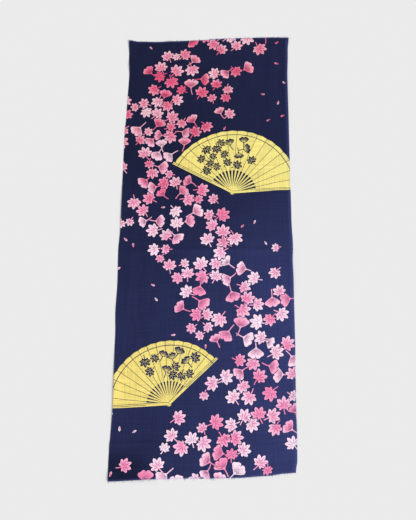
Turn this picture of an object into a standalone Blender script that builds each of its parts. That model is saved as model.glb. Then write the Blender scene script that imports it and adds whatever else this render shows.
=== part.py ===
"""A tenugui towel: one cut length of plain-woven cotton, opened out and laid face up on a surface.

The frame has +X to the right across the width, +Y along the length towards the far end, +Z up.
The origin is on the surface, under the middle of the cloth's box. Units are metres.
"""

import math

import bpy
import numpy as np

MM = 0.001

# Driving dimensions of the cut length
WIDTH = 0.340
LENGTH = 0.900
THICKNESS = 0.001
END_SLANT = 0.0547

# Quads across the width and along the length
COLUMNS = 28
ROWS = 72

# How far each edge lies outside its straight line, in mm.
# "at" runs from -1 to 1: up the cloth for the sides, and from left to right for the ends.
LEFT_EDGE = (
    {"at": -1.00, "out": -2.2},
    {"at": -0.92, "out": -1.4},
    {"at": -0.70, "out": -4.2},
    {"at": -0.42, "out": -2.2},
    {"at": -0.31, "out": -0.2},
    {"at": -0.20, "out": -1.3},
    {"at": -0.04, "out": 0.2},
    {"at": 0.06, "out": -1.8},
    {"at": 0.50, "out": -0.7},
    {"at": 0.62, "out": -2.8},
    {"at": 0.82, "out": -4.2},
    {"at": 0.92, "out": -1.8},
    {"at": 1.00, "out": -0.4},
)
RIGHT_EDGE = (
    {"at": -1.00, "out": -2.4},
    {"at": -0.95, "out": 0.6},
    {"at": -0.88, "out": 1.0},
    {"at": -0.73, "out": 0.4},
    {"at": -0.45, "out": 1.4},
    {"at": -0.20, "out": 0.9},
    {"at": -0.12, "out": 0.0},
    {"at": -0.05, "out": 1.3},
    {"at": 0.08, "out": -0.5},
    {"at": 0.50, "out": -1.6},
    {"at": 0.78, "out": -2.5},
    {"at": 0.93, "out": -0.4},
    {"at": 1.00, "out": 1.7},
)
NEAR_END = (
    {"at": -1.00, "out": 1.4},
    {"at": -0.90, "out": 1.4},
    {"at": -0.50, "out": 0.8},
    {"at": -0.20, "out": 1.7},
    {"at": 0.12, "out": 3.8},
    {"at": 0.42, "out": 4.6},
    {"at": 0.70, "out": 3.2},
    {"at": 0.90, "out": 0.7},
    {"at": 1.00, "out": 0.0},
)
FAR_END = (
    {"at": -1.00, "out": 2.2},
    {"at": -0.88, "out": -0.8},
    {"at": -0.60, "out": -3.4},
    {"at": -0.10, "out": -2.4},
    {"at": 0.20, "out": -0.8},
    {"at": 0.50, "out": -0.4},
    {"at": 0.78, "out": -1.4},
    {"at": 1.00, "out": -4.6},
)

# Low folds that stand off the surface, in mm. Each is a straight ridge between two points.
# x, y: one end; to_x, to_y: the other; left, right: how far it slopes down to either side,
# looking from the one end to the other; high: its height.
FOLDS = (
    {"x": -182, "y": -24, "to_x": 182, "to_y": -18, "left": 46, "right": 17, "high": 1.8},
    {"x": -182, "y": -400, "to_x": -70, "to_y": -397, "left": 14, "right": 14, "high": 1.2},
    {"x": -146, "y": -185, "to_x": -143, "to_y": 115, "left": 12, "right": 12, "high": 0.9},
    {"x": -112, "y": -120, "to_x": -106, "to_y": 140, "left": 14, "right": 14, "high": 0.7},
    {"x": -98, "y": -500, "to_x": -80, "to_y": -378, "left": 78, "right": 46, "high": 3.2},
    {"x": 22, "y": -476, "to_x": 26, "to_y": -415, "left": 20, "right": 20, "high": 1.2},
    {"x": 96, "y": -475, "to_x": 84, "to_y": -410, "left": 22, "right": 22, "high": 1.5},
    {"x": -88, "y": 475, "to_x": -74, "to_y": 385, "left": 20, "right": 20, "high": 1.4},
    {"x": 138, "y": 468, "to_x": 128, "to_y": 225, "left": 16, "right": 16, "high": 1.1},
    {"x": -184, "y": 395, "to_x": -120, "to_y": 345, "left": 18, "right": 18, "high": 1.3},
)

# The rim lifts a little where the selvedge draws in and at the corners, in mm.
# x, y: the highest point; reach_x, reach_y: how far it carries each way; high: its height.
LIFTS = (
    {"x": 171, "y": 330, "reach_x": 20, "reach_y": 120, "high": 2.6},
    {"x": 173, "y": -70, "reach_x": 18, "reach_y": 90, "high": 2.2},
    {"x": 172, "y": -330, "reach_x": 16, "reach_y": 80, "high": 1.7},
    {"x": -168, "y": -300, "reach_x": 18, "reach_y": 100, "high": 2.0},
    {"x": -168, "y": 60, "reach_x": 14, "reach_y": 90, "high": 1.5},
    {"x": -170, "y": -462, "reach_x": 26, "reach_y": 30, "high": 2.3},
    {"x": 174, "y": 460, "reach_x": 36, "reach_y": 40, "high": 3.0},
    {"x": -172, "y": 442, "reach_x": 30, "reach_y": 34, "high": 2.4},
)

# Share of a fold's length over which each of its ends dies away
FOLD_FADE = 0.22

CLOTH_COLOUR = (0.024, 0.030, 0.105, 1.0)
CLOTH_ROUGHNESS = 0.9


def clear_scene():
    for item in list(bpy.data.objects):
        bpy.data.objects.remove(item)


def smooth_row(table, at):
    """The table's value at one place, eased between the rows on either side."""
    places = [row["at"] for row in table]
    index = int(np.clip(np.searchsorted(places, at) - 1, 0, len(table) - 2))
    low, high = table[index], table[index + 1]
    share = (at - low["at"]) / (high["at"] - low["at"])
    eased = share * share * (3 - 2 * share)
    return (low["out"] + (high["out"] - low["out"]) * eased) * MM


def swell(distance):
    """A rounded hump: 1 at distance 0, falling to exactly 0 at distance 1 and beyond."""
    return 0.5 + 0.5 * math.cos(math.pi * distance) if distance < 1 else 0.0


def fold_height(fold, x, y):
    start = np.array((fold["x"], fold["y"])) * MM
    along = np.array((fold["to_x"], fold["to_y"])) * MM - start
    length = np.linalg.norm(along)
    offset = np.array((x, y)) - start
    share = float(offset @ along) / length**2
    to_right = float(offset[0] * along[1] - offset[1] * along[0]) / length
    foot = fold["right"] if to_right > 0 else fold["left"]
    fade = swell(max(0.0, FOLD_FADE - min(share, 1 - share)) / FOLD_FADE)
    return fold["high"] * MM * fade * swell(abs(to_right) / (foot * MM))


def lift_height(lift, x, y):
    across = (x - lift["x"] * MM) / (lift["reach_x"] * MM)
    along = (y - lift["y"] * MM) / (lift["reach_y"] * MM)
    return lift["high"] * MM * swell(math.hypot(across, along))


def underside(x, y):
    """Height of the cloth's underside over the surface: 0 wherever it lies flat."""
    heights = [fold_height(fold, x, y) for fold in FOLDS]
    heights += [lift_height(lift, x, y) for lift in LIFTS]
    return max(heights)


def lie(across, up):
    """Where a point of the cut length lies. Both arguments run from -1 to 1 over the cloth."""
    left = -WIDTH / 2 - smooth_row(LEFT_EDGE, up)
    right = WIDTH / 2 + smooth_row(RIGHT_EDGE, up)
    x = left + (right - left) * (across + 1) / 2
    near = -LENGTH / 2 - smooth_row(NEAR_END, across)
    far = LENGTH / 2 + smooth_row(FAR_END, across)
    y = near + (far - near) * (up + 1) / 2 + END_SLANT * x
    return x, y


def cloth_material():
    material = bpy.data.materials.new("dyed_cotton")
    material.use_nodes = True
    shader = material.node_tree.nodes["Principled BSDF"]
    shader.inputs["Base Color"].default_value = CLOTH_COLOUR
    shader.inputs["Roughness"].default_value = CLOTH_ROUGHNESS
    shader.inputs["Metallic"].default_value = 0.0
    return material


def make_towel():
    """The cloth as a grid on its underside, thickened upwards."""
    bpy.ops.mesh.primitive_grid_add(x_subdivisions=COLUMNS, y_subdivisions=ROWS, size=2)
    towel = bpy.context.object
    towel.name = "towel"
    for vertex in towel.data.vertices:
        x, y = lie(vertex.co.x, vertex.co.y)
        vertex.co = (x, y, underside(x, y))
    places = np.array([vertex.co for vertex in towel.data.vertices])
    middle = (places.min(axis=0) + places.max(axis=0)) / 2
    for vertex in towel.data.vertices:
        vertex.co.x -= middle[0]
        vertex.co.y -= middle[1]
    towel.data.shade_smooth()
    towel.data.materials.append(cloth_material())
    thicken = towel.modifiers.new("cloth thickness", "SOLIDIFY")
    thicken.thickness = THICKNESS
    thicken.offset = 1.0
    return towel


def main():
    clear_scene()
    towel = make_towel()
    collection = bpy.data.collections.new("tenugui_towel")
    bpy.context.scene.collection.children.link(collection)
    for owner in list(towel.users_collection):
        owner.objects.unlink(towel)
    collection.objects.link(towel)


main()
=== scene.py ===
"""The looks of a tenugui towel: cotton dyed through with a drift of blown leaves and two open fans.

Lengths are in metres unless a table says mm. +Y runs along the cloth to its far end, +Z is up, and
the towel lies on the floor at height 0.
"""

import math
import random

import bpy
import numpy as np
from mathutils import Matrix, Vector, noise


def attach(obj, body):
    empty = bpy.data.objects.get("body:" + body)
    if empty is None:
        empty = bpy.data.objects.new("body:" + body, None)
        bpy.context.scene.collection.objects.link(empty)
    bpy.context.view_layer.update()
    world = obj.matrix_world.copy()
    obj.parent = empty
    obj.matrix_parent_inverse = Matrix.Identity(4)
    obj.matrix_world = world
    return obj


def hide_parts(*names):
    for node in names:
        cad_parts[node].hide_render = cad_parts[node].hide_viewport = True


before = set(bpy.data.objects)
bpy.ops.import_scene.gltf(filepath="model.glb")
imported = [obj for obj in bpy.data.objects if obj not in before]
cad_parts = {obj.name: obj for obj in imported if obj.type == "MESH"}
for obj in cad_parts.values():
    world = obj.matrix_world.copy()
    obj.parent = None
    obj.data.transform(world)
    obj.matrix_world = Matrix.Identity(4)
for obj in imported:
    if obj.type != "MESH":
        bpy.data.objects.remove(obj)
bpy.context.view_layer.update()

MM = 0.001

# The cut length, as in the part's source. The sheet here is thinner than the solid.
WIDTH = 0.340
LENGTH = 0.900
END_SLANT = 0.0547
THICKNESS = 0.0005

# Quads across the width and along the length. Places on the cloth run from -1 to 1 each way, and
# past ON_RIM they are on its rim. Its box is taken from this many points along each edge.
COLUMNS = 104
ROWS = 360
ON_RIM = 0.9999
EDGE_POINTS = 2001

# The camera stands over the near end and looks down at the cloth. Its angles are in degrees, its
# lens and sensor in mm.
CAMERA_PLACE = (0.00532, -0.46300, 1.35834)
CAMERA_ELEVATION = 72.918
CAMERA_ROLL = 0.760
CAMERA_LENS = 50.54
CAMERA_SENSOR = 36
CAMERA_CLIP = 0.05

# A large soft lamp low over the near right corner, its spread in degrees, white light from all
# round, and the side of the floor
LAMP_FROM = (0.62, -0.62, 0.56)
LAMP_SPREAD = 34
LAMP_STRENGTH = 3.0
SKY_STRENGTH = 0.54
FLOOR_SIZE = 30

# How far each edge lies outside its straight line, in mm, as in the part's source
LEFT_EDGE = (
    {"at": -1.00, "out": -2.2},
    {"at": -0.92, "out": -1.4},
    {"at": -0.70, "out": -4.2},
    {"at": -0.42, "out": -2.2},
    {"at": -0.31, "out": -0.2},
    {"at": -0.20, "out": -1.3},
    {"at": -0.04, "out": 0.2},
    {"at": 0.06, "out": -1.8},
    {"at": 0.50, "out": -0.7},
    {"at": 0.62, "out": -2.8},
    {"at": 0.82, "out": -4.2},
    {"at": 0.92, "out": -1.8},
    {"at": 1.00, "out": -0.4},
)
RIGHT_EDGE = (
    {"at": -1.00, "out": -2.4},
    {"at": -0.95, "out": 0.6},
    {"at": -0.88, "out": 1.0},
    {"at": -0.73, "out": 0.4},
    {"at": -0.45, "out": 1.4},
    {"at": -0.20, "out": 0.9},
    {"at": -0.12, "out": 0.0},
    {"at": -0.05, "out": 1.3},
    {"at": 0.08, "out": -0.5},
    {"at": 0.50, "out": -1.6},
    {"at": 0.78, "out": -2.5},
    {"at": 0.93, "out": -0.4},
    {"at": 1.00, "out": 1.7},
)
NEAR_END = (
    {"at": -1.00, "out": 1.4},
    {"at": -0.90, "out": 1.4},
    {"at": -0.50, "out": 0.8},
    {"at": -0.20, "out": 1.7},
    {"at": 0.12, "out": 3.8},
    {"at": 0.42, "out": 4.6},
    {"at": 0.70, "out": 3.2},
    {"at": 0.90, "out": 0.7},
    {"at": 1.00, "out": 0.0},
)
FAR_END = (
    {"at": -1.00, "out": 2.2},
    {"at": -0.88, "out": -0.8},
    {"at": -0.60, "out": -3.4},
    {"at": -0.10, "out": -2.4},
    {"at": 0.20, "out": -0.8},
    {"at": 0.50, "out": -0.4},
    {"at": 0.78, "out": -1.4},
    {"at": 1.00, "out": -4.6},
)

# Low folds and lifts of the rim, in mm, and the share of a fold's length over which each of its
# ends dies away, as in the part's source
FOLDS = (
    {"x": -182, "y": -24, "to_x": 182, "to_y": -18, "left": 46, "right": 17, "high": 1.8},
    {"x": -182, "y": -400, "to_x": -70, "to_y": -397, "left": 14, "right": 14, "high": 1.2},
    {"x": -146, "y": -185, "to_x": -143, "to_y": 115, "left": 12, "right": 12, "high": 0.9},
    {"x": -112, "y": -120, "to_x": -106, "to_y": 140, "left": 14, "right": 14, "high": 0.7},
    {"x": -98, "y": -500, "to_x": -80, "to_y": -378, "left": 78, "right": 46, "high": 3.2},
    {"x": 22, "y": -476, "to_x": 26, "to_y": -415, "left": 20, "right": 20, "high": 1.2},
    {"x": 96, "y": -475, "to_x": 84, "to_y": -410, "left": 22, "right": 22, "high": 1.5},
    {"x": -88, "y": 475, "to_x": -74, "to_y": 385, "left": 20, "right": 20, "high": 1.4},
    {"x": 138, "y": 468, "to_x": 128, "to_y": 225, "left": 16, "right": 16, "high": 1.1},
    {"x": -184, "y": 395, "to_x": -120, "to_y": 345, "left": 18, "right": 18, "high": 1.3},
)
LIFTS = (
    {"x": 171, "y": 330, "reach_x": 20, "reach_y": 120, "high": 2.6},
    {"x": 173, "y": -70, "reach_x": 18, "reach_y": 90, "high": 2.2},
    {"x": 172, "y": -330, "reach_x": 16, "reach_y": 80, "high": 1.7},
    {"x": -168, "y": -300, "reach_x": 18, "reach_y": 100, "high": 2.0},
    {"x": -168, "y": 60, "reach_x": 14, "reach_y": 90, "high": 1.5},
    {"x": -170, "y": -462, "reach_x": 26, "reach_y": 30, "high": 2.3},
    {"x": 174, "y": 460, "reach_x": 36, "reach_y": 40, "high": 3.0},
    {"x": -172, "y": 442, "reach_x": 30, "reach_y": 34, "high": 2.4},
)
FOLD_FADE = 0.22

# Pressed creases, the first two along folds, and the cockle of washed cotton, in mm
CREASES = (
    {"x": -182, "y": -28, "to_x": 182, "to_y": -22, "left": 8, "right": 22, "high": 1.25},
    {"x": -182, "y": -396, "to_x": -70, "to_y": -393, "left": 6, "right": 6, "high": 0.40},
    {"x": -60, "y": -258, "to_x": 120, "to_y": -250, "left": 8, "right": 8, "high": 0.30},
    {"x": -120, "y": 212, "to_x": 182, "to_y": 222, "left": 8, "right": 8, "high": 0.30},
)
COCKLES = (
    {"wide": 60, "long": 90, "high": 1.9},
    {"wide": 20, "long": 46, "high": 0.7},
)

# Yarn ends along both cut ends, in mm: their pitch and how far they stray from it, how far they
# reach past the cut, half their thickness and how far inside the cloth they begin
YARN = {
    "pitch": 0.5,
    "stray": 0.15,
    "least": 0.5,
    "most": 1.5,
    "long": 3.8,
    "half": 0.13,
    "inside": 1.2,
}
# The share of long ones. By its tip a yarn leans aside by about one share of its reach, thins by
# another and has dropped by the last of the way to the floor.
LONG_YARN_SHARE = 0.07
YARN_LEAN = 0.22
YARN_TAPER = 0.4
YARN_DROP = 0.7
# Each yarn end is a tube of so many sides and rings
YARN_SIDES = 4
YARN_STEPS = 3
YARN_SEED = 5

# The weave: the pitch of the yarns that run along the cloth and of those across it, and how wide
# and long the thick and thin stretches of uneven yarn are, in mm
WARP_PITCH = 0.50
WEFT_PITCH = 0.54
SLUBS = (
    {"wide": 0.8, "long": 45},
    {"wide": 2.4, "long": 80},
)
SLUB_NOISE = {"scale": 1.0, "detail": 2.0, "rough": 0.6}
# The relief of the weave in mm, and how far uneven yarn changes it over that of even yarn
WEAVE_RELIEF = 0.05
SLUB_HEIGHT = 1.2
# How far uneven yarn and the weave's ups and downs change the cloth's brightness
SLUB_TINT = 0.55
WEAVE_TINT = 0.05
# The cotton's gloss
ROUGHNESS = 0.80
SLUB_ROUGHNESS = 0.2
SPECULAR = 0.08
SHEEN = 0.02
SHEEN_ROUGHNESS = 0.5
# How far apart in the noise the rows of a table are read, and the two ways of the weave
COCKLE_APART = 3.7
SLUB_APART = 3.0
WEFT_APART = 5.0

# Dyes, yarn and floor as sRGB from 0 to 255, the navy as painted where more light falls, and the
# pinks from the deepest tone to the palest
NAVY = (22, 27, 56)
# Painted light: the navy's tone where more light falls on it, towards the near right
NAVY_PAINTED_LIT = (55, 62, 113)
YELLOW = (242, 229, 136)
YELLOW_WARM = (241, 216, 120)
SELVEDGE = (92, 104, 176)
FLOOR = (230, 230, 230)
PINKS_FAR = (
    {"tone": 0.20, "dye": (226, 88, 124)},
    {"tone": 0.50, "dye": (233, 142, 168)},
    {"tone": 0.80, "dye": (240, 190, 205)},
)
PINKS_NEAR = (
    {"tone": 0.20, "dye": (246, 138, 182)},
    {"tone": 0.50, "dye": (250, 182, 214)},
    {"tone": 0.80, "dye": (253, 224, 242)},
)
# Where along the cloth the near pinks turn into the far ones, in metres on the flat cloth. The near
# pinks are paler partly in the print and partly by painted light, as on the navy.
PINKS_TURN = {"near": -0.12, "far": 0.30}

# Painted light: where the navy pales as if more light fell towards the near right, along the cloth
# and across it, in metres on the flat cloth, by what share each way alone, and how much more where
# both meet
NAVY_ALONG = {"pale": -0.20, "deep": 0.22, "share": 0.31}
NAVY_ACROSS = {"pale": 0.28, "deep": -0.13, "share": 0.17}
NAVY_BOTH = 0.52
# Painted shade: the near left corner, where the navy stays deeper
NAVY_PAINTED_SHADE = {"deep_x": -0.145, "end_x": -0.05, "deep_y": -0.43, "end_y": -0.38, "share": 0.34}
# Dye that gathers along the resist round a leaf leaves this share of the navy's brightness
NAVY_GATHERED = 0.80

# The dye is mottled, by noise of a scale a metre. The navy's painted light is a steady share and
# one that the mottle adds. The yellow is warmer by the mottle, and towards the left by a share a
# metre.
MOTTLE_NOISE = {"scale": 16.0, "detail": 4.0, "rough": 0.55}
NAVY_STEADY = 0.72
NAVY_MOTTLED = 0.5
YELLOW_MOTTLED = 0.8
YELLOW_LEFT = 2.0
# Patches of deeper and paler pink, and how strong they are
PATCH_NOISE = {"scale": 13.0, "detail": 1.0}
PATCH_TONE = 1.5
# The dye has bled, so the print's edges wander within this many mm
BLEED_NOISE = {"scale": 1100.0, "detail": 1.0}
BLEED = 0.7
# Half the width of the print's soft edges, in mm: of leaves and fans, of veins and of drawn lines
PRINT_SOFT = 0.25
VEIN_SOFT = 0.22
LINE_SOFT = 0.2

# The colour turns paler towards each edge between two places, in mm past the rim or, with a minus,
# inside it, and by a share of the way to the selvedge's colour
PALE_EDGES = {
    "right": {"start": -8, "end": -2, "share": 0.18},
    "left": {"start": -3, "end": -0.8, "share": 0.05},
    "cut": {"start": -4, "end": -0.5, "share": 0.22},
    "loose": {"start": 0, "end": 3, "share": 0.4},
}

# The open fans, in mm on the flat cloth: the pivot, where the fan points and how far it opens in
# degrees, the paper's inner and outer radius, and where its painted spray lies off its middle
FANS = (
    {"x": 52, "y": 96, "points": 76, "opens": 148, "inner": 48, "outer": 136, "spray": 34},
    {"x": -66, "y": -318, "points": 112, "opens": 138, "inner": 42, "outer": 118, "spray": -30},
)
# The paper, in mm: how far its rim dips between two pleats, how wide the band along the rim is, and
# half the width of the band's line and of the other drawn lines. Every other pleat is darker.
FAN_PLEATS = 16
FAN_RIM_DIP = 1.2
FAN_BAND = 9
FAN_BAND_LINE = 0.72
FAN_LINE = 0.45
FAN_PLEAT_TINT = 0.06
# The sticks, in mm: half their width at the paper, the share of it that they keep at the pivot,
# where they start to widen, and how far they run on under the paper. Then the pivot's radius.
FAN_STICK = 1.5
FAN_STICK_NARROW = 0.6
FAN_STICK_START = 4
FAN_STICK_HIDDEN = 1
FAN_PIVOT = 4.5
# The guards at both sides, in mm: half their width, where they start and how far past the rim
FAN_GUARD = 2.4
FAN_GUARD_START = 2
FAN_GUARD_PAST = 3
# How far the leaves of a fan's spray scatter, in degrees
SPRAY_SPREAD = 17

# The drift of leaves swings from side to side down the cloth: its swing, wave and half width in
# mm, and the share of the length that it covers either way from the middle
DRIFT_SWING = 104
DRIFT_WAVE = 860
DRIFT_PHASE_Y = -25
DRIFT_HALF = 78
DRIFT_REACH = 0.52
# The wind gathers the leaves in gusts this long, and leaves bare cloth where it is weakest
GUST = 62
GUST_LEAST = -0.10

# Leaves from the lowest to the topmost: size from base to tip in mm, how many are tried, how far
# they spread over the drift's half width, how near two may lie over their span, and whether they
# fill the gusts only
MIXED = ("maple", "maple", "ginkgo")
LEAVES = (
    {"kinds": MIXED, "size": 18.5, "tries": 1500, "spread": 1.0, "close": 0.78, "gusts": True},
    {"kinds": MIXED, "size": 16.0, "tries": 1800, "spread": 1.15, "close": 0.80, "gusts": True},
    {"kinds": ("maple",), "size": 12.5, "tries": 900, "spread": 1.3, "close": 0.84, "gusts": True},
    {"kinds": ("leaflet",), "size": 8, "tries": 260, "spread": 4.5, "close": 1.35, "gusts": False},
)
SPRAY = {"kinds": MIXED, "size": 13.5, "tries": 400, "close": 0.78}
# How far a leaf's size and tone vary, and how far its stem may bend aside: by so much of the size
# at one size behind the base
LEAF_VARIES = {"least": 0.9, "most": 1.1}
LEAF_TONE = {"mean": 0.6, "spread": 0.14}
LEAF_BEND = 0.35
# Lengths over a leaf's size: its span, the room that it keeps to a fan's edges, how far its middle
# lies from its base, the radius of the circles that hold its blade and its stem, and how far the
# stem's circle lies behind the base
LEAF_SPAN = 1.55
LEAF_ROOM = 0.75
LEAF_MIDDLE = 0.3
BLADE_REACH = 0.87
STEM_REACH = 0.55
STEM_BEHIND = 0.43
LEAF_SEED = 11
# The most leaves that a face of the cloth can show, and how many metres off an unused one lies
LEAF_SLOTS = 4
FAR_OFF = 9.0

# Each leaf's outline and its gap to the next: radius over size, by the turn from its tip (0) to
# its stem (1). Sharp rows are tips and notches.
LEAF_OUTLINES = {
    "maple": (
        {"turn": 0.000, "radius": 1.00, "gap": 1.08, "sharp": True},
        {"turn": 0.050, "radius": 0.86, "gap": 0.98, "sharp": False},
        {"turn": 0.110, "radius": 0.58, "gap": 0.76, "sharp": True},
        {"turn": 0.170, "radius": 0.84, "gap": 0.96, "sharp": False},
        {"turn": 0.225, "radius": 0.95, "gap": 1.04, "sharp": True},
        {"turn": 0.280, "radius": 0.79, "gap": 0.92, "sharp": False},
        {"turn": 0.335, "radius": 0.53, "gap": 0.70, "sharp": True},
        {"turn": 0.390, "radius": 0.70, "gap": 0.84, "sharp": False},
        {"turn": 0.450, "radius": 0.78, "gap": 0.88, "sharp": True},
        {"turn": 0.520, "radius": 0.58, "gap": 0.72, "sharp": False},
        {"turn": 0.585, "radius": 0.38, "gap": 0.54, "sharp": True},
        {"turn": 0.640, "radius": 0.46, "gap": 0.58, "sharp": False},
        {"turn": 0.690, "radius": 0.50, "gap": 0.61, "sharp": True},
        {"turn": 0.750, "radius": 0.40, "gap": 0.52, "sharp": False},
        {"turn": 0.830, "radius": 0.20, "gap": 0.34, "sharp": False},
        {"turn": 1.000, "radius": 0.10, "gap": 0.20, "sharp": True},
    ),
    "ginkgo": (
        {"turn": 0.000, "radius": 0.68, "gap": 0.80, "sharp": True},
        {"turn": 0.035, "radius": 0.94, "gap": 1.02, "sharp": False},
        {"turn": 0.110, "radius": 1.00, "gap": 1.08, "sharp": False},
        {"turn": 0.180, "radius": 0.94, "gap": 1.03, "sharp": False},
        {"turn": 0.250, "radius": 0.98, "gap": 1.07, "sharp": False},
        {"turn": 0.320, "radius": 0.88, "gap": 0.98, "sharp": True},
        {"turn": 0.360, "radius": 0.50, "gap": 0.72, "sharp": False},
        {"turn": 0.410, "radius": 0.24, "gap": 0.42, "sharp": False},
        {"turn": 0.500, "radius": 0.12, "gap": 0.26, "sharp": False},
        {"turn": 1.000, "radius": 0.08, "gap": 0.18, "sharp": False},
    ),
    "leaflet": (
        {"turn": 0.000, "radius": 1.00, "gap": 1.06, "sharp": True},
        {"turn": 0.060, "radius": 0.86, "gap": 0.96, "sharp": False},
        {"turn": 0.130, "radius": 0.56, "gap": 0.68, "sharp": False},
        {"turn": 0.200, "radius": 0.30, "gap": 0.44, "sharp": False},
        {"turn": 0.320, "radius": 0.13, "gap": 0.26, "sharp": False},
        {"turn": 1.000, "radius": 0.06, "gap": 0.16, "sharp": False},
    ),
}
# Where each kind's veins run, by the same turn, and how long its stem is over its size
LEAF_VEINS = {
    "maple": (0.0, 0.225, 0.450),
    "ginkgo": (0.0, 0.09, 0.18, 0.27),
    "leaflet": (0.0,),
}
LEAF_STEMS = {"maple": 0.72, "ginkgo": 0.86, "leaflet": 0.0}
# Curves hold heights up to 1, so radii are stored over CURVE_TOP. The shares of the way to the rim
# take no rim as nearer than LEAST_RIM.
CURVE_TOP = 1.25
LEAST_RIM = 0.05

# Half the width of a stem and of a vein, the gap beside a stem, and how far the dye creeps past
# a leaf's outline, in mm
STEM_HALF = 0.75
VEIN_HALF = 0.32
STEM_GAP = 0.9
LEAF_CREEP = 0.15
# Where a vein starts, over the leaf's size. By the share of the way to the rim: where it ends, and
# between which places it would thin to a share of its width.
VEIN_START = 0.14
VEIN_END = 0.80
VEIN_THINS = {"start": 0.35, "end": 0.95, "left": 0.25}
# By the same share, where a leaf's own tone turns from deeper to paler, and by how much
RIM_TONE = {"start": 0.45, "end": 0.95, "deeper": -0.22, "paler": 0.06}


def linear(colour):
    """A colour given as sRGB from 0 to 255, as Blender's linear colour."""
    shares = [value / 255 for value in colour]
    made = [v / 12.92 if v <= 0.04045 else ((v + 0.055) / 1.055) ** 2.4 for v in shares]
    return (*made, 1.0)


def smooth_row(table, at):
    """The table's value at each place, eased between the rows on either side."""
    places = np.array([row["at"] for row in table])
    values = np.array([row["out"] for row in table]) * MM
    index = np.clip(np.searchsorted(places, at) - 1, 0, len(table) - 2)
    share = (at - places[index]) / (places[index + 1] - places[index])
    eased = share * share * (3 - 2 * share)
    return values[index] + (values[index + 1] - values[index]) * eased


def swell(distance):
    """A rounded hump: 1 at distance 0, falling to 0 at distance 1 and beyond."""
    return 0.5 + 0.5 * np.cos(np.pi * np.minimum(distance, 1))


def fold_height(fold, x, y):
    start_x, start_y = fold["x"] * MM, fold["y"] * MM
    along_x, along_y = fold["to_x"] * MM - start_x, fold["to_y"] * MM - start_y
    length = math.hypot(along_x, along_y)
    share = ((x - start_x) * along_x + (y - start_y) * along_y) / length**2
    to_right = ((x - start_x) * along_y - (y - start_y) * along_x) / length
    foot = np.where(to_right > 0, fold["right"], fold["left"]) * MM
    fade = swell(np.maximum(0, FOLD_FADE - np.minimum(share, 1 - share)) / FOLD_FADE)
    return fold["high"] * MM * fade * swell(np.abs(to_right) / foot)


def lift_height(lift, x, y):
    across = (x - lift["x"] * MM) / (lift["reach_x"] * MM)
    along = (y - lift["y"] * MM) / (lift["reach_y"] * MM)
    return lift["high"] * MM * swell(np.hypot(across, along))


def cockle_height(x, y):
    """The slight unevenness of washed cotton: low swells, and between them it lies flat."""
    total = np.zeros_like(x)
    for number, row in enumerate(COCKLES):
        wide, long = row["wide"] * MM, row["long"] * MM
        for index, (one_x, one_y) in enumerate(zip(x, y)):
            place = Vector((one_x / wide, one_y / long, COCKLE_APART * number))
            total[index] += row["high"] * MM * max(0.0, noise.noise(place)) ** 2
    return total


def underside(x, y):
    """Height of the cloth's underside over the floor: the solid's folds, creased and cockled."""
    heights = [fold_height(fold, x, y) for fold in FOLDS]
    heights += [lift_height(lift, x, y) for lift in LIFTS]
    creases = np.sum([fold_height(crease, x, y) for crease in CREASES], axis=0)
    return np.max(heights, axis=0) + creases + cockle_height(x, y)


def lie(across, up):
    """Where points of the cut length lie. Both arguments run from -1 to 1 over the cloth."""
    left = -WIDTH / 2 - smooth_row(LEFT_EDGE, up)
    right = WIDTH / 2 + smooth_row(RIGHT_EDGE, up)
    x = left + (right - left) * (across + 1) / 2
    near = -LENGTH / 2 - smooth_row(NEAR_END, across)
    far = LENGTH / 2 + smooth_row(FAR_END, across)
    y = near + (far - near) * (up + 1) / 2 + END_SLANT * x
    return x, y


def cloth_middle():
    """The middle of the cloth's box, which the origin lies under."""
    places = np.linspace(-1, 1, EDGE_POINTS)
    one = np.ones_like(places)
    sides = [lie(-one, places), lie(one, places), lie(places, -one), lie(places, one)]
    x = np.concatenate([side[0] for side in sides])
    y = np.concatenate([side[1] for side in sides])
    return (x.min() + x.max()) / 2, (y.min() + y.max()) / 2


MIDDLE_X, MIDDLE_Y = cloth_middle()


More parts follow.
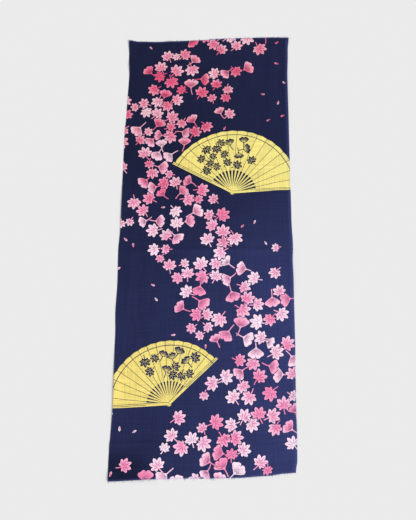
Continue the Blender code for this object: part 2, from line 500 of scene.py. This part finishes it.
class Nodes:
    """Writes formulas into one node tree. Each call adds a node and returns its output."""

    def __init__(self, tree):
        self.tree = tree

    def put(self, socket, value):
        if isinstance(value, bpy.types.NodeSocket):
            self.tree.links.new(value, socket)
        else:
            socket.default_value = value

    def add(self, kind, *values, out=0, **settings):
        node = self.tree.nodes.new(kind)
        for name, value in settings.items():
            setattr(node, name, value)
        for socket, value in zip(node.inputs, values):
            self.put(socket, value)
        return node.outputs[out]

    def math(self, operation, *values):
        return self.add("ShaderNodeMath", *values, operation=operation)

    def vector(self, operation, *values):
        return self.add("ShaderNodeVectorMath", *values, operation=operation)

    def dot(self, one, other):
        return self.add("ShaderNodeVectorMath", one, other, operation="DOT_PRODUCT", out=1)

    def length(self, vector):
        return self.add("ShaderNodeVectorMath", vector, operation="LENGTH", out=1)

    def scaled(self, vector, share):
        node = self.tree.nodes.new("ShaderNodeVectorMath")
        node.operation = "SCALE"
        self.put(node.inputs[0], vector)
        self.put(node.inputs["Scale"], share)
        return node.outputs[0]

    def parts(self, vector):
        node = self.tree.nodes.new("ShaderNodeSeparateXYZ")
        self.put(node.inputs[0], vector)
        return tuple(node.outputs)

    def join(self, x, y, z=0.0):
        return self.add("ShaderNodeCombineXYZ", x, y, z)

    def ease(self, value, low, high, at_low=0.0, at_high=1.0):
        values = (value, low, high, at_low, at_high)
        return self.add("ShaderNodeMapRange", *values, interpolation_type="SMOOTHSTEP")

    def inside(self, distance, soft):
        """1 where the distance is below 0, easing to 0 over the soft edge."""
        return self.ease(distance, -soft, soft, 1.0, 0.0)

    def each(self, operation, values):
        total = values[0]
        for value in values[1:]:
            total = self.math(operation, total, value)
        return total

    def least(self, *values):
        return self.each("MINIMUM", values)

    def most(self, *values):
        return self.each("MAXIMUM", values)

    def times(self, *values):
        return self.each("MULTIPLY", values)

    def plus(self, *values):
        return self.each("ADD", values)

    def less(self, one, other):
        return self.math("SUBTRACT", one, other)

    def size(self, value):
        return self.math("ABSOLUTE", value)

    def blend(self, share, one, other):
        """One number, turning into the other as the share grows."""
        return self.plus(one, self.times(share, self.less(other, one)))

    def mix(self, share, one, other):
        """One colour, turning into the other as the share grows."""
        node = self.tree.nodes.new("ShaderNodeMix")
        node.data_type = "RGBA"
        # The sockets for colours stand behind those for numbers and for vectors
        for index, value in ((0, share), (6, one), (7, other)):
            self.put(node.inputs[index], value)
        return node.outputs[2]

    def ramp(self, value, rows):
        """The dye for a tone, from a table of tones and dyes."""
        node = self.tree.nodes.new("ShaderNodeValToRGB")
        stops = node.color_ramp.elements
        for row in rows[1:-1]:
            stops.new(row["tone"])
        for stop, row in zip(stops, rows):
            stop.position = row["tone"]
            stop.color = linear(row["dye"])
        self.put(node.inputs[0], value)
        return node.outputs[0]

    def noise(self, vector, scale, detail, rough=0.5, out=0):
        return self.add("ShaderNodeTexNoise", vector, 0.0, scale, detail, rough, out=out)

    def attribute(self, name):
        return self.add("ShaderNodeAttribute", attribute_name=name, out=1)

    def curves(self, value, tables):
        """Three curves of one value, as a vector. A table's rows are value, height and sharp."""
        node = self.tree.nodes.new("ShaderNodeRGBCurve")
        for curve, table in zip(node.mapping.curves, tables):
            curve.points[0].location = table[0][:2]
            curve.points[1].location = table[-1][:2]
            for row in table[1:-1]:
                curve.points.new(*row[:2])
            for point, row in zip(curve.points, table):
                point.handle_type = "VECTOR" if row[2] else "AUTO_CLAMPED"
        node.mapping.update()
        self.put(node.inputs["Color"], value)
        return node.outputs[0]


def outline_rows(key):
    """The outline or gap tables of the drawn kinds of leaf, for Nodes.curves."""
    return [
        [(row["turn"], row[key] / CURVE_TOP, row["sharp"]) for row in table]
        for table in LEAF_OUTLINES.values()
    ]


def vein_rows():
    """How far a turn is from the nearest vein, for the drawn kinds of leaf."""
    tables = []
    for veins in LEAF_VEINS.values():
        rows = []
        for vein, following in zip(veins, veins[1:]):
            half = (following - vein) / 2
            rows += [(vein, 0.0, True), (vein + half, half, True)]
        rows += [(veins[-1], 0.0, True), (1.0, 1.0 - veins[-1], True)]
        tables.append(rows)
    return tables


def leaf_group():
    """A node group that draws one leaf of any kind on the flat cloth.

    Inside it the leaf's base is the origin, forward runs to its tip and its size is 1.
    """
    tree = bpy.data.node_groups.new("leaf", "ShaderNodeTree")
    for name in ("Cut", "Place", "Axis", "Look", "Kind"):
        tree.interface.new_socket(name, in_out="INPUT", socket_type="NodeSocketVector")
    for name in ("Fill", "Gap", "Tone"):
        tree.interface.new_socket(name, in_out="OUTPUT", socket_type="NodeSocketFloat")
    n = Nodes(tree)
    cut, place, axis, look, kind = tree.nodes.new("NodeGroupInput").outputs[:5]
    size, bend, own_tone = n.parts(look)
    axis_x, axis_y, _ = n.parts(axis)
    offset = n.vector("SUBTRACT", cut, place)
    forward = n.dot(offset, axis)
    aside = n.dot(offset, n.join(n.times(axis_y, -1.0), axis_x))
    radius = n.length(n.join(forward, aside))
    turn = n.times(n.size(n.math("ARCTAN2", aside, forward)), 1 / math.pi)

    outline = n.times(n.dot(n.curves(turn, outline_rows("radius")), kind), CURVE_TOP)
    gap_line = n.times(n.dot(n.curves(turn, outline_rows("gap")), kind), CURVE_TOP)
    blade = n.times(n.less(radius, outline), size)
    blade_gap = n.times(n.less(radius, gap_line), size)

    stem_end = n.dot(kind, tuple(LEAF_STEMS.values()))
    off_stem = n.times(n.size(n.less(aside, n.times(bend, forward, forward))), size)
    past_end = n.times(n.plus(forward, stem_end), size, -1.0)
    stem = n.most(n.less(off_stem, STEM_HALF * MM), past_end, n.times(forward, size))

    reach = n.math("DIVIDE", radius, n.most(outline, LEAST_RIM))
    off_vein = n.times(n.dot(n.curves(turn, vein_rows()), kind), math.pi)
    thin = n.ease(reach, VEIN_THINS["start"], VEIN_THINS["end"], 1.0, VEIN_THINS["left"])
    vein = n.less(n.times(n.math("SINE", off_vein), radius, size), n.times(thin, VEIN_HALF * MM))
    vein_end = n.times(n.less(reach, VEIN_END), size)
    vein_start = n.times(n.less(VEIN_START, radius), size)
    veins = n.inside(n.most(vein, vein_end, vein_start), VEIN_SOFT * MM)

    result = tree.nodes.new("NodeGroupOutput")
    fill = n.inside(n.less(n.least(blade, stem), LEAF_CREEP * MM), PRINT_SOFT * MM)
    gap = n.inside(n.least(blade_gap, n.less(stem, STEM_GAP * MM)), PRINT_SOFT * MM)
    n.put(result.inputs["Fill"], n.times(fill, n.less(1.0, veins)))
    n.put(result.inputs["Gap"], gap)
    # The dye is deepest in the leaf's middle, pales towards the rim and deepens again past it, so
    # that the stem is deep too
    near_rim = n.least(reach, n.less(2.0, reach))
    tone = (RIM_TONE["start"], RIM_TONE["end"], RIM_TONE["deeper"], RIM_TONE["paler"])
    n.put(result.inputs["Tone"], n.plus(own_tone, n.ease(near_rim, *tone)))
    return tree


def leaf_print(n, material, cut):
    """How far the leaves and the gaps round them cover the cloth, and the leaves' tone."""
    group = leaf_group()
    cover, gaps, tone = 0.0, 0.0, 0.5
    for slot in range(1, LEAF_SLOTS + 1):
        node = material.node_tree.nodes.new("ShaderNodeGroup")
        node.node_tree = group
        n.put(node.inputs["Cut"], cut)
        for name in ("Place", "Axis", "Look", "Kind"):
            n.put(node.inputs[name], n.attribute(f"leaf{slot}_{name.lower()}"))
        fill, gap, own_tone = node.outputs
        cover = n.most(n.times(cover, n.less(1.0, gap)), fill)
        gaps = n.most(gaps, gap)
        tone = n.blend(fill, tone, own_tone)
    return cover, gaps, tone


def fan_print(n, cut, fan):
    """The ground of one fan, its drawn lines and the tone of its pleats."""
    half = math.radians(fan["opens"]) / 2
    points = math.radians(fan["points"])
    inner, outer = fan["inner"] * MM, fan["outer"] * MM
    offset = n.vector("SUBTRACT", cut, (fan["x"] * MM, fan["y"] * MM, 0.0))
    forward = n.dot(offset, (math.cos(points), math.sin(points), 0.0))
    aside = n.dot(offset, (-math.sin(points), math.cos(points), 0.0))
    radius = n.length(n.join(forward, aside))
    angle = n.math("ARCTAN2", aside, forward)
    pleat = n.times(n.plus(angle, half), FAN_PLEATS / (2 * half))
    off_middle = n.size(n.less(n.math("FRACT", pleat), 0.5))
    pleat_width = n.times(radius, 2 * half / FAN_PLEATS)
    past_side = n.times(n.less(n.size(angle), half), radius)

    # The rim is a zigzag, each pleat reaching furthest at its middle
    rim = n.plus(outer, n.times(off_middle, -2 * FAN_RIM_DIP * MM))
    paper = n.most(n.less(radius, rim), n.less(inner, radius), past_side)
    widening = n.ease(radius, FAN_STICK_START * MM, inner, FAN_STICK_NARROW, 1.0)
    off_stick = n.less(n.times(off_middle, pleat_width), n.times(widening, FAN_STICK * MM))
    sticks = n.most(off_stick, n.less(radius, inner + FAN_STICK_HIDDEN * MM), past_side)
    pivot = n.less(radius, FAN_PIVOT * MM)
    off_guard = n.size(past_side)
    guard_tip = n.less(radius, outer + FAN_GUARD_PAST * MM)
    guard_foot = n.less(FAN_GUARD_START * MM, radius)
    guards = n.most(n.less(off_guard, FAN_GUARD * MM), guard_tip, guard_foot)
    ground = n.inside(n.least(paper, sticks, pivot, guards), PRINT_SOFT * MM)

    off_pleat = n.times(n.less(0.5, off_middle), pleat_width)
    pleat_lines = n.most(n.less(off_pleat, FAN_LINE * MM), n.less(inner, radius))
    off_side_line = n.size(n.less(off_guard, FAN_GUARD * MM + FAN_LINE * MM))
    side_lines = n.less(off_side_line, FAN_LINE * MM)
    off_band = n.size(n.less(radius, outer - FAN_BAND * MM))
    band_line = n.less(off_band, FAN_BAND_LINE * MM)
    lines = n.least(pleat_lines, side_lines, band_line)
    tone = n.math("MODULO", n.math("FLOOR", pleat), 2.0)
    return ground, n.inside(lines, LINE_SOFT * MM), tone


def weave(n, cut):
    """A plain weave of about 20 yarns a centimetre: its height, slubs and which yarn is over."""
    x, y, _ = n.parts(cut)
    warp = n.math("SINE", n.times(x, math.pi / (WARP_PITCH * MM)))
    weft = n.math("SINE", n.times(y, math.pi / (WEFT_PITCH * MM)))
    over = n.times(warp, weft)
    slub = 0.0
    for number, row in enumerate(SLUBS):
        wide, long, apart = row["wide"] * MM, row["long"] * MM, SLUB_APART * number
        along = n.join(n.times(x, 1 / wide), n.times(y, 1 / long), apart)
        across = n.join(n.times(x, 1 / long), n.times(y, 1 / wide), apart + WEFT_APART)
        both = n.plus(n.noise(along, **SLUB_NOISE), n.noise(across, **SLUB_NOISE))
        slub = n.plus(slub, n.less(both, 1.0))
    height = n.plus(n.size(over), n.times(slub, SLUB_HEIGHT))
    return height, slub, over


def edge_tone(n, cut):
    """How far the colour is paler at each edge: most on loose ends, least along the left side."""
    x, y, _ = n.parts(cut)
    past_end = n.less(n.size(y), LENGTH / 2)
    past = {
        "right": n.less(x, WIDTH / 2),
        "left": n.less(-WIDTH / 2, x),
        "cut": past_end,
        "loose": past_end,
    }
    paler = {
        name: n.times(n.ease(past[name], row["start"] * MM, row["end"] * MM), row["share"])
        for name, row in PALE_EDGES.items()
    }
    return n.most(paler["right"], paler["left"], n.plus(paler["cut"], paler["loose"]))


def navy_with_painted_light(n, x, y, mottle):
    """The navy with painted light, lighter and bluer towards the near right, and with painted shade
    that keeps it deep in the near left corner.
    """
    along = n.ease(y, NAVY_ALONG["pale"], NAVY_ALONG["deep"], 1.0, 0.0)
    across = n.ease(x, NAVY_ACROSS["deep"], NAVY_ACROSS["pale"])
    # Painted shade that keeps the navy deep in the near left corner
    corner = n.times(
        n.ease(y, NAVY_PAINTED_SHADE["deep_y"], NAVY_PAINTED_SHADE["end_y"], NAVY_PAINTED_SHADE["share"], 0.0),
        n.ease(x, NAVY_PAINTED_SHADE["deep_x"], NAVY_PAINTED_SHADE["end_x"], 1.0, 0.0),
    )
    # Painted light towards the near right, less the painted shade in the near left corner
    lighter = n.plus(
        n.times(along, NAVY_ALONG["share"]),
        n.times(across, NAVY_ACROSS["share"]),
        n.times(along, across, NAVY_BOTH),
        n.times(corner, -1.0),
    )
    share = n.times(lighter, n.plus(NAVY_STEADY, n.times(mottle, NAVY_MOTTLED)))
    return n.mix(share, linear(NAVY), linear(NAVY_PAINTED_LIT))


def dyed_cotton():
    material = bpy.data.materials.new("dyed_cotton")
    material.use_nodes = True
    n = Nodes(material.node_tree)
    shader = material.node_tree.nodes["Principled BSDF"]
    flat = n.add("ShaderNodeUVMap", uv_map="cut")
    x, y, _ = n.parts(flat)
    # The print's edges wander by a fraction of a yarn where the dye has bled
    bleed = n.vector("SUBTRACT", n.noise(flat, **BLEED_NOISE, out=1), (0.5, 0.5, 0.5))
    cut = n.vector("MULTIPLY_ADD", bleed, (BLEED * MM, BLEED * MM, 0.0), flat)

    mottle = n.noise(flat, **MOTTLE_NOISE)
    # The navy carries painted light towards the near right and painted shade in the near left
    # corner
    navy = navy_with_painted_light(n, x, y, mottle)
    warm = n.plus(n.times(x, -YELLOW_LEFT), n.times(mottle, YELLOW_MOTTLED))
    yellow = n.mix(warm, linear(YELLOW), linear(YELLOW_WARM))

    paper, lines, pleats = 0.0, 0.0, 0.0
    for fan in FANS:
        ground, drawn, tone = fan_print(n, cut, fan)
        paper = n.most(ground, paper)
        lines = n.most(n.times(drawn, ground), lines)
        pleats = n.most(n.times(tone, ground), pleats)
    yellow = n.scaled(yellow, n.less(1.0, n.times(pleats, FAN_PLEAT_TINT)))

    cover, gaps, tone = leaf_print(n, material, cut)
    patches = n.times(n.less(n.noise(flat, **PATCH_NOISE), 0.5), PATCH_TONE)
    tone = n.plus(tone, patches)
    # Towards the near end the pinks are paler, partly in the print and partly by painted light
    nearness = n.ease(y, PINKS_TURN["near"], PINKS_TURN["far"], 1.0, 0.0)
    pink = n.mix(nearness, n.ramp(tone, PINKS_FAR), n.ramp(tone, PINKS_NEAR))
    # On the paper of a fan the leaves are navy
    leaf = n.mix(paper, pink, navy)
    ground = n.mix(n.times(paper, n.less(1.0, lines)), navy, yellow)
    # Dye gathers along the resist, so the navy is deepest close round each leaf
    ground = n.mix(gaps, ground, n.mix(paper, n.scaled(navy, NAVY_GATHERED), yellow))
    colour = n.mix(cover, ground, leaf)

    height, slub, over = weave(n, flat)
    colour = n.mix(edge_tone(n, flat), colour, linear(SELVEDGE))
    shade = n.plus(1.0, n.times(slub, SLUB_TINT), n.times(over, WEAVE_TINT))
    n.put(shader.inputs["Base Color"], n.scaled(colour, shade))
    n.put(shader.inputs["Roughness"], n.plus(ROUGHNESS, n.times(slub, SLUB_ROUGHNESS)))
    shader.inputs["Specular IOR Level"].default_value = SPECULAR
    shader.inputs["Sheen Weight"].default_value = SHEEN
    shader.inputs["Sheen Roughness"].default_value = SHEEN_ROUGHNESS
    bump = material.node_tree.nodes.new("ShaderNodeBump")
    bump.inputs["Strength"].default_value = 1.0
    bump.inputs["Distance"].default_value = WEAVE_RELIEF * MM
    n.put(bump.inputs["Height"], height)
    n.put(shader.inputs["Normal"], bump.outputs[0])
    return material


def drift_middle(y):
    """Where the middle of the drift of leaves lies across the cloth."""
    return -DRIFT_SWING * MM * math.sin(2 * math.pi * (y - DRIFT_PHASE_Y * MM) / (DRIFT_WAVE * MM))


def fan_spot(fan, x, y):
    """How far a point is from a fan's pivot, and its turn off the fan's middle."""
    away_x, away_y = x - fan["x"] * MM, y - fan["y"] * MM
    turn = math.atan2(away_y, away_x) - math.radians(fan["points"])
    return math.hypot(away_x, away_y), (turn + math.pi) % (2 * math.pi) - math.pi


def clears_fan(fan, x, y, room):
    """True where all within the room round a point is off the fan, or on its paper."""
    radius, turn = fan_spot(fan, x, y)
    past_side = (abs(turn) - math.radians(fan["opens"]) / 2) * radius
    off = radius > fan["outer"] * MM + room or past_side > room + FAN_GUARD * MM
    past_paper = max(fan["inner"] * MM - radius, radius - (fan["outer"] - FAN_BAND) * MM)
    return off or (past_paper < -room and past_side < -room - FAN_GUARD * MM)


def on_a_fan(x, y):
    """True on the paper or between the sticks of a fan, where the drift's leaves keep off."""
    spots = [fan_spot(fan, x, y) for fan in FANS]
    return any(
        radius < fan["outer"] * MM and abs(turn) < math.radians(fan["opens"]) / 2
        for fan, (radius, turn) in zip(FANS, spots)
    )


def try_leaf(draw, leaves, row, x, y):
    """Adds a leaf with its middle at x, y if there is room for it."""
    size = row["size"] * MM * draw.uniform(LEAF_VARIES["least"], LEAF_VARIES["most"])
    leaf = {
        "x": x,
        "y": y,
        "size": size,
        "kind": draw.choice(row["kinds"]),
        "turn": draw.uniform(0, 2 * math.pi),
        "bend": draw.uniform(-LEAF_BEND, LEAF_BEND),
        "tone": draw.gauss(LEAF_TONE["mean"], LEAF_TONE["spread"]),
    }
    apart = row["close"] * LEAF_SPAN / 2
    clear = all(
        math.hypot(x - other["x"], y - other["y"]) > apart * (size + other["size"])
        for other in leaves
    )
    on_cloth = abs(x) < WIDTH / 2 + size / 2 and abs(y) < LENGTH / 2 + size / 2
    if clear and on_cloth and all(clears_fan(fan, x, y, LEAF_ROOM * size) for fan in FANS):
        leaves.append(leaf)


def blown_leaves():
    """The leaves, from the lowest to the topmost."""
    draw = random.Random(LEAF_SEED)
    leaves = []
    for row in LEAVES:
        for _ in range(row["tries"]):
            y = draw.uniform(-DRIFT_REACH, DRIFT_REACH) * LENGTH
            x = drift_middle(y) + draw.gauss(0, DRIFT_HALF * MM / 2) * row["spread"]
            gust = noise.noise(Vector((x, y, 0)) / (GUST * MM))
            blown = gust > GUST_LEAST or not row["gusts"]
            if blown and not on_a_fan(x, y):
                try_leaf(draw, leaves, row, x, y)
    for fan in FANS:
        for _ in range(SPRAY["tries"]):
            turn = math.radians(fan["points"] + draw.gauss(fan["spray"], SPRAY_SPREAD))
            radius = draw.uniform(fan["inner"], fan["outer"]) * MM
            x = fan["x"] * MM + radius * math.cos(turn)
            y = fan["y"] * MM + radius * math.sin(turn)
            try_leaf(draw, leaves, SPRAY, x, y)
    return leaves


def near_leaf(leaf, x, y, margin):
    """True for the points that a leaf or its stem may reach."""
    away_x, away_y = x - leaf["x"], y - leaf["y"]
    toward_x, toward_y = math.cos(leaf["turn"]), math.sin(leaf["turn"])
    stem = (LEAF_MIDDLE + STEM_BEHIND) * leaf["size"]
    to_blade = np.hypot(away_x, away_y)
    to_stem = np.hypot(away_x + toward_x * stem, away_y + toward_y * stem)
    near_blade = to_blade < BLADE_REACH * leaf["size"] + margin
    near_stem = to_stem < STEM_REACH * leaf["size"] + margin
    return near_blade | near_stem


def chart_leaves(mesh, leaves, flat_x, flat_y, margin):
    """Tells each face of a quad mesh which leaves it may show, from the lowest to the topmost."""
    corners = np.empty(len(mesh.loops), int)
    mesh.loops.foreach_get("vertex_index", corners)
    round_face = corners.reshape(-1, 4)
    face_x, face_y = flat_x[round_face].mean(1), flat_y[round_face].mean(1)
    # An unused slot keeps a leaflet 1 mm long, far from the cloth
    unused = {
        "place": (FAR_OFF, FAR_OFF, 0.0),
        "axis": (1 / MM, 0.0, 0.0),
        "look": (MM, 0.0, 0.5),
        "kind": (0.0, 0.0, 1.0),
    }
    charts = {
        (slot, name): np.tile(value, (len(face_x), 1))
        for slot in range(LEAF_SLOTS)
        for name, value in unused.items()
    }
    used = np.zeros(len(face_x), int)
    for leaf in leaves:
        toward = np.array((math.cos(leaf["turn"]), math.sin(leaf["turn"]), 0.0))
        values = {
            "place": np.array((leaf["x"], leaf["y"], 0.0)) - toward * leaf["size"] * LEAF_MIDDLE,
            "axis": toward / leaf["size"],
            "look": (leaf["size"], leaf["bend"], leaf["tone"]),
            "kind": [float(leaf["kind"] == name) for name in LEAF_OUTLINES],
        }
        near = near_leaf(leaf, face_x, face_y, margin)
        for slot in range(LEAF_SLOTS):
            here = near & (used == slot)
            for name, value in values.items():
                charts[slot, name][here] = value
        used[near] += 1
    for (slot, name), chart in charts.items():
        layer = mesh.attributes.new(f"leaf{slot + 1}_{name}", "FLOAT_VECTOR", "FACE")
        layer.data.foreach_set("vector", chart.ravel())


def lay_flat_map(mesh, flat_x, flat_y):
    """Gives each corner its place on the flat cloth, in metres."""
    corners = np.empty(len(mesh.loops), int)
    mesh.loops.foreach_get("vertex_index", corners)
    layer = mesh.uv_layers.new(name="cut")
    layer.uv.foreach_set("vector", np.column_stack((flat_x[corners], flat_y[corners])).ravel())


def make_cloth(material, leaves):
    bpy.ops.mesh.primitive_grid_add(
        x_subdivisions=COLUMNS, y_subdivisions=ROWS, size=2, calc_uvs=False
    )
    cloth = bpy.context.object
    cloth.name = "cloth"
    mesh = cloth.data
    points = np.empty(len(mesh.vertices) * 3)
    mesh.vertices.foreach_get("co", points)
    across, up, _ = points.reshape(-1, 3).T
    x, y = lie(across, up)
    places = np.column_stack((x - MIDDLE_X, y - MIDDLE_Y, underside(x, y)))
    mesh.vertices.foreach_set("co", places.ravel())

    flat_x, flat_y = across * WIDTH / 2, up * LENGTH / 2
    lay_flat_map(mesh, flat_x, flat_y)
    chart_leaves(mesh, leaves, flat_x, flat_y, math.hypot(WIDTH / COLUMNS, LENGTH / ROWS) / 2)
    mesh.shade_smooth()
    # A sharp rim keeps the cloth's cut edge crisp
    ends = np.empty(len(mesh.edges) * 2, int)
    mesh.edges.foreach_get("vertices", ends)
    on_side = np.abs(across[ends.reshape(-1, 2)]).min(1) > ON_RIM
    on_end = np.abs(up[ends.reshape(-1, 2)]).min(1) > ON_RIM
    sharp = mesh.attributes.new("sharp_edge", "BOOLEAN", "EDGE")
    sharp.data.foreach_set("value", on_side | on_end)
    mesh.materials.append(material)
    thicken = cloth.modifiers.new("cloth thickness", "SOLIDIFY")
    thicken.thickness = THICKNESS
    thicken.offset = 1.0
    return cloth


def yarn_end(draw, at, end):
    """The rings of one loose yarn: where each one's middle lies on the cut length, in metres, and
    how far along the yarn it is, from 0 to 1.
    """
    long = draw.random() < LONG_YARN_SHARE
    reach = YARN["long"] if long else draw.uniform(YARN["least"], YARN["most"])
    lean = draw.gauss(0, YARN_LEAN) * reach
    rings = []
    for step in range(YARN_STEPS):
        share = step / (YARN_STEPS - 1)
        out = (share * (reach + YARN["inside"]) - YARN["inside"]) * MM
        x = at + share * share * lean * MM
        rings.append((x, end * (LENGTH / 2 + out), share))
    return rings


def make_fray(material, leaves):
    """The loose yarn ends along both cut ends, as one mesh of small closed tubes."""
    draw = random.Random(YARN_SEED)
    count = round(WIDTH / (YARN["pitch"] * MM))
    flat, heights, shares = [], [], []
    for end in (-1, 1):
        for number in range(count):
            stray = draw.uniform(-YARN["stray"], YARN["stray"]) * MM
            at = (number + 0.5) / count * WIDTH - WIDTH / 2 + stray
            for x, y, share in yarn_end(draw, at, end):
                half = YARN["half"] * MM * (1 - YARN_TAPER * share)
                for side in range(YARN_SIDES):
                    angle = 2 * math.pi * (side + 0.5) / YARN_SIDES
                    flat.append((x + half * math.cos(angle), y))
                    heights.append(half * math.sin(angle))
                    shares.append(share)
    flat, heights, shares = np.array(flat), np.array(heights), np.array(shares)
    across, up = flat[:, 0] / (WIDTH / 2), flat[:, 1] / (LENGTH / 2)
    x, y = lie(across, up)
    # A yarn leaves the cloth in the middle of its thickness, and drops on its way out
    end_x, end_y = lie(across, np.clip(up, -1, 1))
    middle = underside(end_x, end_y) + THICKNESS / 2
    lowest = YARN["half"] * MM
    z = lowest + (middle - lowest) * (1 - YARN_DROP * shares**2) + heights

    faces = []
    per_yarn = YARN_SIDES * YARN_STEPS
    for first in range(0, len(flat), per_yarn):
        faces.append(tuple(first + side for side in reversed(range(YARN_SIDES))))
        for ring in range(first, first + per_yarn - YARN_SIDES, YARN_SIDES):
            for side in range(YARN_SIDES):
                following = (side + 1) % YARN_SIDES
                one, other = ring + side, ring + following
                faces.append((one, other, other + YARN_SIDES, one + YARN_SIDES))
        faces.append(tuple(first + per_yarn - YARN_SIDES + side for side in range(YARN_SIDES)))
    mesh = bpy.data.meshes.new("fray")
    mesh.from_pydata(np.column_stack((x - MIDDLE_X, y - MIDDLE_Y, z)).tolist(), [], faces)
    fray = bpy.data.objects.new("fray", mesh)
    bpy.context.scene.collection.objects.link(fray)
    lay_flat_map(mesh, flat[:, 0], flat[:, 1])
    chart_leaves(mesh, leaves, flat[:, 0], flat[:, 1], YARN["long"] * MM / 2)
    mesh.materials.append(material)
    return fray


def make_floor():
    bpy.ops.mesh.primitive_plane_add(size=FLOOR_SIZE)
    floor = bpy.context.object
    floor.name = "floor"
    material = bpy.data.materials.new("floor")
    material.use_nodes = True
    shader = material.node_tree.nodes["Principled BSDF"]
    shader.inputs["Base Color"].default_value = linear(FLOOR)
    shader.inputs["Roughness"].default_value = 1.0
    shader.inputs["Specular IOR Level"].default_value = 0.0
    floor.data.materials.append(material)
    return floor


def make_camera():
    data = bpy.data.cameras.new("camera")
    camera = bpy.data.objects.new("camera", data)
    bpy.context.scene.collection.objects.link(camera)
    place = Vector(CAMERA_PLACE) - Vector((MIDDLE_X, MIDDLE_Y, 0))
    tip = Matrix.Rotation(math.radians(90 - CAMERA_ELEVATION), 4, "X")
    roll = Matrix.Rotation(math.radians(CAMERA_ROLL), 4, "Z")
    camera.matrix_world = Matrix.Translation(place) @ tip @ roll
    data.lens = CAMERA_LENS
    data.sensor_width = CAMERA_SENSOR
    data.clip_start = CAMERA_CLIP
    bpy.context.scene.camera = camera


def light_scene():
    data = bpy.data.lights.new("lamp", "SUN")
    data.energy = LAMP_STRENGTH
    data.angle = math.radians(LAMP_SPREAD)
    lamp = bpy.data.objects.new("lamp", data)
    bpy.context.scene.collection.objects.link(lamp)
    lamp.rotation_euler = Vector(LAMP_FROM).to_track_quat("Z", "Y").to_euler()
    world = bpy.data.worlds.new("studio")
    bpy.context.scene.world = world
    world.use_nodes = True
    background = world.node_tree.nodes["Background"]
    background.inputs["Color"].default_value = (1, 1, 1, 1)
    background.inputs["Strength"].default_value = SKY_STRENGTH
    bpy.context.scene.view_settings.view_transform = "Standard"


make_camera()
floor = make_floor()
light_scene()

leaves = blown_leaves()
cotton = dyed_cotton()
cloth = make_cloth(cotton, leaves)
fray = make_fray(cotton, leaves)
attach(cloth, "root")
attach(fray, "root")
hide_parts("towel")
